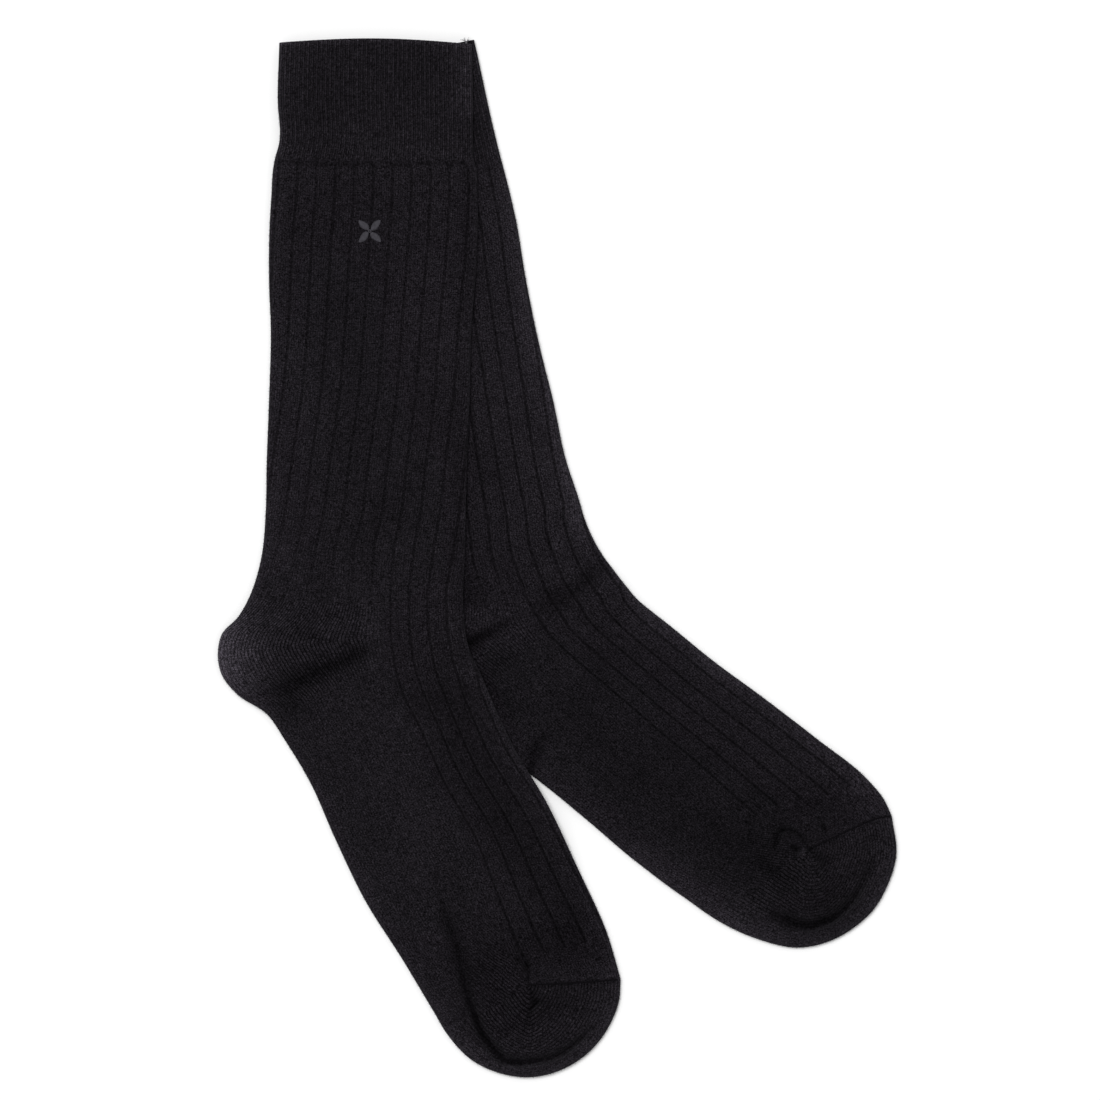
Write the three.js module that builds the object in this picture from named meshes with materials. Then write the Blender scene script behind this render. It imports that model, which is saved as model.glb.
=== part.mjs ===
// A pair of ribbed socks lying flat, one partly on the other. Millimetres, +Z up, floor at z = 0.
// Each sock is a flattened knitted tube: its wall runs over the top, round the front fold, back
// underneath and round the back fold. The cuff end is open and the toe is closed.
import * as THREE from 'three';

const wall = 1.4;
const hollow = 0.6;
const seamGap = 0.3;
// Along the side line, where a fan's cells meet in a point, each half keeps this far from it.
const sideLineGap = 0.25;
const flatHeight = 2 * wall + hollow;
// The folded edge is a quarter ellipse, this far across for each millimetre of height.
const foldPerHeight = 0.7;

// Ribs: each is seven raised stitches and one sunk stitch. Eleven lie on each side of a flat sock.
const ribsPerSide = 11;
const ribGroove = { depth: 0.4, halfWidth: 1, firstAt: 0.11 };

// The sock that lies on the other is held up over it, and comes down to the floor beside it.
const drape = { clearance: 0.35, shoulder: 7, fall: 18 };

// A sock's footprint is taken to run on this far past its rim.
const rimOverhang = 25;
// The sock underneath is flat up to this far beside the other, and reaches its own form after that.
const pressed = { beside: 3, over: 10 };

const toeSeamRidge = { width: 1.4, height: 0.7, lift: 0.35, steps: 10, fromSide: 1, fromFold: 2.5 };

// Where the side line lies between the folds of a leg section and of a foot section.
const sideShare = { leg: 0.5, foot: 0.58 };

// Sections from the cuff's rim to the toe seam. Each runs from the back fold (the sole, on the foot)
// over the side line to the front fold (the instep). Halfway down the heel, and past the toe's first
// section, they turn about the side line like a fan, and on the toe only the back fold still moves on:
// the toe is a pocket of the sole half, closed against the instep half at the seam. sole and instep
// name the piece that begins on either half, or the end of it.
const topSock = {
  name: 'top_sock',
  sections: [
    { back: [-122.3, 226.2], front: [-37.6, 225.5], sole: 'cuff', instep: 'cuff' },
    { back: [-123.5, 173.4], front: [-36.6, 172.4], sole: 'leg', instep: 'leg' },
    { back: [-125.7, 166.0], front: [-35.6, 165.5] },
    { back: [-126.5, 148.5], front: [-35.0, 148.1] },
    { back: [-126.5, 100.1], front: [-37.8, 100.1] },
    { back: [-128.0, 40.7], front: [-39.6, 40.7] },
    { back: [-128.3, 9.9], front: [-40.3, 8.6] },
    { back: [-134.2, -13.4], side: [-79.4, -17.8], front: [-41.6, -16.1] },
    { back: [-138.4, -23.5], side: [-79.4, -26.6], front: [-41.1, -24.0], sole: 'heel' },
    { back: [-147.6, -33.7], side: [-79.0, -31.9], front: [-40.9, -28.4] },
    { back: [-149.4, -42.9], side: [-78.5, -37.2], front: [-40.3, -33.2], instep: 'foot' },
    { back: [-145.9, -54.8], side: [-77.7, -40.3], front: [-39.2, -38.5] },
    { back: [-127.4, -69.3], side: [-75.9, -43.3], front: [-37.2, -44.2], sole: 'foot' },
    { back: [-119.9, -80.3], front: [-34.1, -50.4] },
    { back: [-109.3, -97.9], front: [-31.5, -56.5] },
    { back: [-91.3, -137.5], front: [-12.1, -96.1] },
    { back: [-68.0, -177.1], front: [8.8, -136.4] },
    { back: [-56.1, -196.5], side: [-14.7, -172.7], front: [23.8, -167.4] },
    { back: [-48.2, -210.1], side: [-6.4, -188.1], front: [27.7, -185.5], sole: 'toe', instep: 'end' },
    { back: [-37.6, -221.1] },
    { back: [-25.3, -227.0] },
    { back: [-12.1, -228.2] },
    { back: [1.1, -225.5] },
    { back: [14.3, -217.1] },
    { back: [23.1, -205.3] },
    { back: [27.1, -195.1] },
    { back: [27.7, -185.5], sole: 'end' },
  ],
  // Where the cloth stands off the floor: a soft dome of this height, falling away over its reach.
  puffs: [
    { what: 'heel pocket', at: [-130, -36], reach: 19, height: 4.6 },
    { what: 'sole side of the heel', at: [-124, -66], reach: 10, height: 1.8 },
    { what: 'toe pocket', at: [-8, -200], reach: 27, height: 2.2 },
  ],
  creases: [
    { what: 'under the heel', from: [-84, -40], to: [-110, -52], width: 6, depth: 3 },
    { what: 'under the heel', from: [-110, -52], to: [-128, -59], width: 5, depth: 3.4 },
    { what: 'toe rim, sole side', from: [-43, -176], to: [-35, -208], width: 3, depth: 1.5 },
    { what: 'toe rim, end', from: [-35, -208], to: [-17, -222], width: 3, depth: 1.5 },
    { what: 'toe rim, instep side', from: [-17, -222], to: [10, -210], width: 3, depth: 1.5 },
  ],
};

const underSock = {
  name: 'under_sock',
  sections: [
    { back: [-119.5, 209.0], front: [-36.7, 227.7], sole: 'cuff', instep: 'cuff' },
    { back: [-109.3, 156.0], front: [-24.4, 174.4], sole: 'leg', instep: 'leg' },
    { back: [-108.6, 148.6], front: [-22.0, 167.0] },
    { back: [-105.2, 128.9], front: [-18.3, 148.5] },
    { back: [-95.7, 75.9], front: [-8.6, 95.7] },
    { back: [-85.1, 31.9], front: [1.5, 51.7] },
    { back: [-77.2, -7.7], side: [-31.9, 3.3], front: [9.5, 25.3] },
    { back: [-73.3, -24.9], side: [-13.9, -18.7], front: [21.3, -1.1], sole: 'heel' },
    { back: [-77.2, -36.3], side: [-12.1, -21.3], front: [24.0, -4.6] },
    { back: [-77.7, -49.9], side: [-10.8, -23.6], front: [26.6, -8.1], instep: 'foot' },
    { back: [-68.4, -61.8], side: [-9.9, -26.2], front: [30.1, -12.5] },
    { back: [-46.4, -71.1], side: [-7.7, -29.6], front: [35.4, -18.7], sole: 'foot' },
    { back: [-28.8, -83.4], front: [40.7, -23.1] },
    { back: [-8.6, -97.9], front: [48.5, -29.4] },
    { back: [13.0, -115.5], front: [68.0, -45.1] },
    { back: [40.7, -138.4], front: [95.7, -66.2] },
    { back: [52.1, -147.2], side: [84.7, -104.5], front: [116.4, -81.6] },
    { back: [62.7, -154.2], side: [95.7, -112.0], front: [135.3, -96.6] },
    { back: [79.4, -163.5], side: [112.0, -126.9], front: [147.0, -113.7], sole: 'toe', instep: 'end' },
    { back: [89.5, -168.3] },
    { back: [104.5, -171.2] },
    { back: [120.8, -168.3] },
    { back: [131.3, -161.7] },
    { back: [138.8, -155.1] },
    { back: [146.3, -141.9] },
    { back: [149.2, -128.7] },
    { back: [147.0, -113.7], sole: 'end' },
  ],
  puffs: [
    { what: 'instep at the ankle', at: [24, -16], reach: 15, height: 1.6 },
    { what: 'toe pocket', at: [114, -133], reach: 25, height: 2.0 },
  ],
  creases: [
    { what: 'front of the ankle', from: [18, -4], to: [0, -21], width: 5, depth: 1.6 },
    { what: 'toe rim, sole side', from: [102, -160], to: [112, -162], width: 3, depth: 1.4 },
    { what: 'toe rim, end', from: [112, -162], to: [133, -143], width: 3, depth: 1.4 },
  ],
};

const knitColours = {
  cuff: 0x1a181c,
  leg: 0x1a181c,
  heel: 0x211f23,
  foot: 0x1c1a1d,
  toe: 0x1e1c1f,
  toe_seam: 0x171518,
};

const mix = (a, b, share) => a.map((v, i) => v + (b[i] - v) * share);
const span = (a, b) => Math.hypot(b[0] - a[0], b[1] - a[1]);
const clamp = (v) => Math.min(Math.max(v, 0), 1);
const smooth = (v) => clamp(v) ** 2 * (3 - 2 * clamp(v));

// How far a path lies off, and the way along it at its nearest place.
function nearestToPath(p, path) {
  const wayAt = (i) => {
    const a = path[Math.max(i - 1, 0)];
    const b = path[Math.min(i + 1, path.length - 1)];
    return [(b[0] - a[0]) / span(a, b), (b[1] - a[1]) / span(a, b)];
  };
  let best = { off: Infinity };
  for (let i = 1; i < path.length; i += 1) {
    const [a, b] = [path[i - 1], path[i]];
    const dot = (p[0] - a[0]) * (b[0] - a[0]) + (p[1] - a[1]) * (b[1] - a[1]);
    const along = clamp(dot / span(a, b) ** 2);
    const off = span(p, mix(a, b, along));
    if (off < best.off) {
      best = { off, way: mix(wayAt(i - 1), wayAt(i), along) };
    }
  }
  return best;
}

function isInside(p, loop) {
  let inside = false;
  loop.forEach((a, i) => {
    const b = loop[(i + 1) % loop.length];
    if (a[1] > p[1] !== b[1] > p[1]) {
      const x = a[0] + ((b[0] - a[0]) * (p[1] - a[1])) / (b[1] - a[1]);
      inside = inside !== p[0] < x;
    }
  });
  return inside;
}

// Positive beside the sock, negative over it. Past the rim too, a cuff that lies there stays straight.
function distanceBeside(p, folds) {
  const pastRim = (rim, next) => mix(rim, next, -rimOverhang / span(rim, next));
  const [first, last] = [folds[0], folds[folds.length - 1]];
  const footprint = [pastRim(first, folds[1]), ...folds, pastRim(last, folds[folds.length - 2])];
  const { off } = nearestToPath(p, [...footprint, footprint[0]]);
  return isInside(p, footprint) ? -off : off;
}

// The folded edges, from the back of the rim round the toe to the front of the rim.
function foldPath(sock) {
  const backs = sock.sections.map((s) => s.back);
  const fronts = sock.sections.filter((s) => s.front).map((s) => s.front);
  return [...backs, ...fronts.reverse().slice(1)];
}

function seamSection(sock) {
  return sock.sections.find((s) => s.instep === 'end');
}

// The columns run round the tube. share goes from the back fold, 0, to the front fold, 1, over the
// top (face 1) and back underneath (face -1). The side line has a column on either side of it.
function tubeColumns(width) {
  const grooves = [];
  for (let rib = 1; rib < ribsPerSide; rib += 1) {
    grooves.push((rib + ribGroove.firstAt) / ribsPerSide);
  }
  const edge = ribGroove.halfWidth / width;
  const over = [0, 0.02, 0.045, ...grooves.flatMap((s) => [s - edge, s, s + edge]), 0.955, 0.98, 1];
  const under = [0.02, 0.045, 0.12, 0.2, 0.28, 0.36, 0.44, 0.56, 0.64, 0.72, 0.8, 0.88, 0.955, 0.98];
  const face = (shares, up) => [
    ...shares.filter((s) => s < 0.5).map((share) => ({ share, face: up, half: 'sole' })),
    { share: 0.5, face: up, half: 'sole', bySideLine: true },
    { share: 0.5, face: up, half: 'instep', bySideLine: true },
    ...shares.filter((s) => s > 0.5).map((share) => ({ share, face: up, half: 'instep' })),
  ];
  const columns = [...face(over, 1), ...face(under, -1).reverse()];
  columns.forEach((column) => {
    column.inGroove = column.face === 1 && grooves.includes(column.share);
  });
  return columns;
}

// Near a fold the cloth turns down, so that a step round the tube takes less of the section's width.
function widthShare(share, width) {
  const across = foldPerHeight * flatHeight;
  const round = (Math.PI / 2) * Math.sqrt((across ** 2 + (flatHeight / 2) ** 2) / 2);
  const fromFold = Math.min(share, 1 - share) * (width + 2 * (round - across));
  const turned = Math.min(fromFold / round, 1) * (Math.PI / 2);
  const inward = across * (1 - Math.cos(turned)) + Math.max(fromFold - round, 0);
  return share < 0.5 ? inward / width : 1 - inward / width;
}

function placeOnSection({ back, side, front }, column) {
  const width = span(back, side) + span(side, front);
  const fold = column.half === 'sole' ? back : front;
  if (column.bySideLine) {
    return mix(side, fold, sideLineGap / span(side, fold));
  }
  const across = widthShare(column.share, width);
  return mix(fold, side, 2 * Math.min(across, 1 - across));
}

// Rows of plan points with, for either half of the tube, the piece that a row shapes and the piece
// that fills the cells up to the next row. Where a piece begins, there are two rows, a gap apart.
function planRows(sock, columns) {
  const heelRow = sock.sections.findIndex((s) => s.sole === 'heel');
  const seam = seamSection(sock);
  const plan = sock.sections.map(({ back, side, front = seam.front }, i) => {
    const share = i < heelRow ? sideShare.leg : sideShare.foot;
    const middle = i > sock.sections.indexOf(seam) ? seam.side : mix(back, front, share);
    return columns.map((column) => placeOnSection({ back, side: side ?? middle, front }, column));
  });
  const rows = [];
  let piece = {};
  sock.sections.forEach(({ sole, instep }, i) => {
    const shift = (way) => plan[i].map((p, c) => {
      const next = (plan[i + way] ?? plan[i])[c];
      return mix(p, next, seamGap / 2 / (span(p, next) || 1));
    });
    const begins = { ...(sole && { sole }), ...(instep && { instep }) };
    if (i === 0 || !(sole || instep)) {
      piece = { ...piece, ...begins };
      rows.push({ points: plan[i], piece, fills: piece });
      return;
    }
    const fills = { sole: sole ? null : piece.sole, instep: instep ? null : piece.instep };
    rows.push({ points: shift(-1), piece, fills });
    piece = { ...piece, ...begins };
    rows.push({ points: shift(1), piece, fills: piece });
  });
  return rows;
}

function heightAt(sock, p) {
  let fullness = 0;
  sock.puffs.forEach(({ at, reach, height }) => {
    fullness += height * Math.exp(-((span(p, at) / reach) ** 2));
  });
  sock.creases.forEach(({ from, to, width, depth }) => {
    const { off } = nearestToPath(p, [from, to]);
    fullness -= depth * Math.exp(-((off / width) ** 2));
  });
  return flatHeight + Math.max(fullness, 0) * sock.puffedShareAt(p);
}

// How far each column of a row is held up. It is straight between the columns underneath, so that
// the top stays parallel to the underside.
function rowLift(sock, points, columns) {
  const stops = columns.map((column, c) => ({ ...column, lift: sock.liftAt(points[c]) }))
    .filter(({ face, share }) => face === -1 || share === 0 || share === 1)
    .sort((a, b) => a.share - b.share);
  return columns.map(({ share }) => {
    const after = Math.max(stops.findIndex((stop) => stop.share >= share), 1);
    const [a, b] = [stops[after - 1], stops[after]];
    return a.lift + ((b.lift - a.lift) * (share - a.share)) / (b.share - a.share || 1);
  });
}

// A point of the wall's outer and of its inner face. Near a fold both turn down towards mid height.
function wallPoints(sock, p, face, lift, groove) {
  const height = heightAt(sock, p);
  const { way, off } = nearestToPath(p, sock.folds);
  const across = foldPerHeight * height;
  const round = (share) => face * Math.sqrt(1 - (1 - clamp(share)) ** 2);
  const push = Math.max(wall - off / 3, 0);
  const inside = [p[0] - way[1] * push, p[1] + way[0] * push];
  const middle = lift + height / 2;
  return {
    outer: [...p, middle + (height / 2 - groove) * round(off / across)],
    inner: [...inside, middle + (height / 2 - wall) * round((off + push - wall) / (across - wall))],
  };
}

function isRibbed(piece, half) {
  return piece === 'leg' || (piece === 'foot' && half === 'instep');
}

function wallGrid(sock) {
  const columns = tubeColumns(span(sock.sections[0].back, sock.sections[0].front));
  const rows = planRows(sock, columns).map((row) => {
    const lifts = rowLift(sock, row.points, columns);
    const points = columns.map(({ face, half, inGroove }, c) => {
      const groove = inGroove && isRibbed(row.piece[half], half) ? ribGroove.depth : 0;
      return wallPoints(sock, row.points[c], face, lifts[c], groove);
    });
    return { ...row, points };
  });
  return { columns, rows };
}

// The cells of one piece, closed by the wall's outer face, its inner face and a strip round its rim.
// Facing rims are split the same way, so that a seam stays as wide as its gap.
function pieceGeometry({ columns, rows }, name) {
  const positions = [];
  const index = [];
  const numbers = new Map();
  const rim = new Map();
  const vertex = (row, column, layer) => {
    const key = `${row} ${column} ${layer}`;
    if (!numbers.has(key)) {
      numbers.set(key, numbers.size);
      positions.push(...rows[row].points[column][layer]);
    }
    return numbers.get(key);
  };
  const fillsOf = (row, column) => row.fills[columns[column].half];
  for (let r = 0; r < rows.length - 1; r += 1) {
    columns.forEach((_, c) => {
      const next = (c + 1) % columns.length;
      if (fillsOf(rows[r], c) !== name || fillsOf(rows[r], next) !== name) {
        return;
      }
      const corners = [[r + 1, c], [r + 1, next], [r, next], [r, c]];
      const [a, b, e, f] = corners.map(([i, j]) => vertex(i, j, 'outer'));
      const [ai, bi, ei, fi] = corners.map(([i, j]) => vertex(i, j, 'inner'));
      index.push([a, b, e], [a, e, f], [ai, ei, bi], [ai, fi, ei]);
      const sides = [[a, b, ai, bi], [b, e, bi, ei], [e, f, ei, fi], [f, a, fi, ai]];
      sides.forEach(([p, q, pi, qi], side) => {
        if (!rim.delete(`${q} ${p}`)) {
          const split = side < 2 ? [[q, p, pi], [q, pi, qi]] : [[q, p, qi], [p, pi, qi]];
          rim.set(`${p} ${q}`, split);
        }
      });
    });
  }
  rim.forEach((pair) => index.push(...pair));
  return solidGeometry(positions, index);
}

function solidGeometry(positions, triangles) {
  const geometry = new THREE.BufferGeometry();
  geometry.setAttribute('position', new THREE.Float32BufferAttribute(positions, 3));
  geometry.setIndex(triangles.flat());
  geometry.computeVertexNormals();
  return geometry;
}

// The linked seam over the toe: a low ridge laid on the points of the foot and the toe, clear of them
// by its lift.
function toeSeamGeometry(sock, foot, toe) {
  const seam = seamSection(sock);
  const { width, height, lift, steps, fromSide, fromFold } = toeSeamRidge;
  const length = span(seam.side, seam.front);
  const from = mix(seam.side, seam.front, fromSide / length);
  const to = mix(seam.front, seam.side, fromFold / length);
  const aside = [(from[1] - to[1]) / span(from, to), (to[0] - from[0]) / span(from, to)];
  const down = new THREE.Vector3(0, 0, -1);
  toe.geometry.computeBoundingBox();
  const above = toe.geometry.boundingBox.max.z + height;
  const topOf = ([x, y]) => {
    const ray = new THREE.Raycaster(new THREE.Vector3(x, y, above), down);
    return ray.intersectObjects([foot, toe])[0]?.point.z ?? 0;
  };
  const positions = [];
  const triangles = [];
  for (let i = 0; i <= steps; i += 1) {
    const middle = mix(from, to, i / steps);
    const sides = [-1, 1].map((way) => middle.map((v, axis) => v + (aside[axis] * way * width) / 2));
    const base = Math.max(...[...sides, middle].map(topOf)) + lift;
    const [left, right] = sides;
    positions.push(...left, base, ...right, base, ...right, base + height, ...left, base + height);
  }
  for (let i = 0; i < steps; i += 1) {
    for (let k = 0; k < 4; k += 1) {
      const [a, b] = [4 * i + k, 4 * i + ((k + 1) % 4)];
      triangles.push([a, b, b + 4], [a, b + 4, a + 4]);
    }
  }
  const end = 4 * steps;
  triangles.push([0, 2, 1], [0, 3, 2], [end, end + 1, end + 2], [end, end + 2, end + 3]);
  return solidGeometry(positions, triangles);
}

function pieceMesh(sock, piece, geometry) {
  const material = new THREE.MeshStandardMaterial({
    color: knitColours[piece],
    roughness: 0.95,
    metalness: 0,
  });
  const mesh = new THREE.Mesh(geometry, material);
  mesh.name = `${sock.name}_${piece}`;
  return mesh;
}

function buildSock(sock) {
  const grid = wallGrid(sock);
  const group = new THREE.Group();
  ['cuff', 'leg', 'heel', 'foot', 'toe'].forEach((piece) => {
    group.add(pieceMesh(sock, piece, pieceGeometry(grid, piece)));
  });
  const [foot, toe] = group.children.slice(-2);
  group.add(pieceMesh(sock, 'toe_seam', toeSeamGeometry(sock, foot, toe)));
  return group;
}

topSock.folds = foldPath(topSock);
underSock.folds = foldPath(underSock);

underSock.liftAt = () => 0;
underSock.puffedShareAt = (p) => {
  const beyond = distanceBeside(p, topSock.folds) - pressed.beside;
  return smooth(beyond / pressed.over);
};
topSock.puffedShareAt = () => 1;
topSock.liftAt = (p) => {
  const beyond = distanceBeside(p, underSock.folds) - drape.shoulder;
  return (flatHeight + drape.clearance) * (1 - smooth(beyond / drape.fall));
};

const group = new THREE.Group();
group.add(buildSock(underSock), buildSock(topSock));

export default group;
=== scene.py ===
# A pair of ribbed socks lying flat, one partly on the other, seen from straight above.
# Sizes and places are in millimetres until a vertex is placed.
import math

import bmesh
import bpy
import numpy as np
from mathutils import Euler, Matrix, Vector


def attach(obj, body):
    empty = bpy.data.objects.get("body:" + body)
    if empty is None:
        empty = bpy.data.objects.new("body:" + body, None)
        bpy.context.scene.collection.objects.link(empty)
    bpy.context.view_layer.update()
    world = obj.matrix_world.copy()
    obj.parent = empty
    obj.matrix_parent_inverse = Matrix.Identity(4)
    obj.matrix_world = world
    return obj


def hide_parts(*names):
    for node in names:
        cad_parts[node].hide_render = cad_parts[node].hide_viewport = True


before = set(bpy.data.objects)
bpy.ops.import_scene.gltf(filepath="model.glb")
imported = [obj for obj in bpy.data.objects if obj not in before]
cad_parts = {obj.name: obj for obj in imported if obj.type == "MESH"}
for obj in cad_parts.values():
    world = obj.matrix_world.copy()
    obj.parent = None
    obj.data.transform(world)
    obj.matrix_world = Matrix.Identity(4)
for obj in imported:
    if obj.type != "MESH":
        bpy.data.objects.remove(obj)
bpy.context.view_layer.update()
mm = 0.001

# How a sock is knitted: stitches stand in wales side by side, 88 on each side of the flat tube
knit = {
    "columns": 176,         # on top, two to a wale, with a wale's middle on every even one
    "underColumns": 66,
    "ribColumns": 16,       # a broad rib is seven wales and the sunk one
    "grooveColumn": 2,
    "course": 0.8,          # height of a stitch
    "cuffRib": 0.22,
    "groove": 0.55,
    "crown": 0.16,
    "wall": 1.1,
}

# How a sock lies: two walls and the air between them, with rounded folds
lying = {
    "flatHeight": 3.4,
    "foldPerHeight": 0.7,
    "leastHeight": 2.25,
    "clearance": 0.35,
    "shoulder": 7,
    "fall": 18,
    "rimOverhang": 25,
    "bowRows": 8,           # rows over which the bow of the rim fades
    "pressedBeside": 3,
    "pressedOver": 10,
    "legSide": 0.5,         # where the side line lies between the back and the front fold
    "footSide": 0.56,
    "faintRise": 0.05,      # of forms that only change the ribs, the lines or the light
    "foldHighlight": 0.46,       # painted highlight along the folds, lightening the cloth's colour there
    "highlightReach": 4.6,
}

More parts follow.
